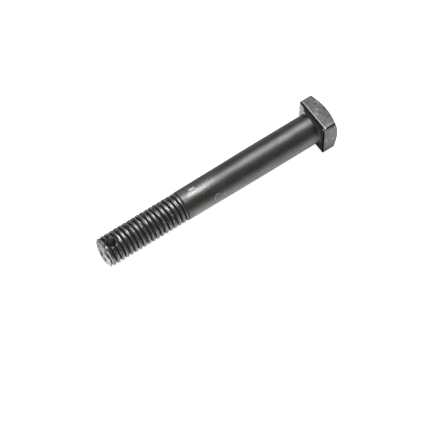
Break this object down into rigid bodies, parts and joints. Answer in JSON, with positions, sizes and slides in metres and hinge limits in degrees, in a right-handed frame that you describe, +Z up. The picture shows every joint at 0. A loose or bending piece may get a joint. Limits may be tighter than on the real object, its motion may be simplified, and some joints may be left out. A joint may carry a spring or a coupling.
{
  "type": "square head bolt",
  "caption": "Square head bolt in black oxide steel, with a plain shank, a short threaded end and a cross hole for a split pin near its tip.",
  "frame": {"origin": "centre of the bearing face under the head, on the axis of the shank", "axes": "+X along the shank towards the tip, dipping 1.3 degrees as the bolt lies at rest; +Z up, square to the head's upper flat but for that dip; +Y across two of the head's flats"},
  "size_m": [0.0956, 0.015, 0.0152],
  "materials": {
    "black_steel": "black oxide, semi-gloss on the shank, matt and mottled on the forged head, worn bright on the crests of the thread and just above it"
  },
  "bodies": {
    "root": {"square_head_bolt": "black_steel"}
  },
  "joints": []
}
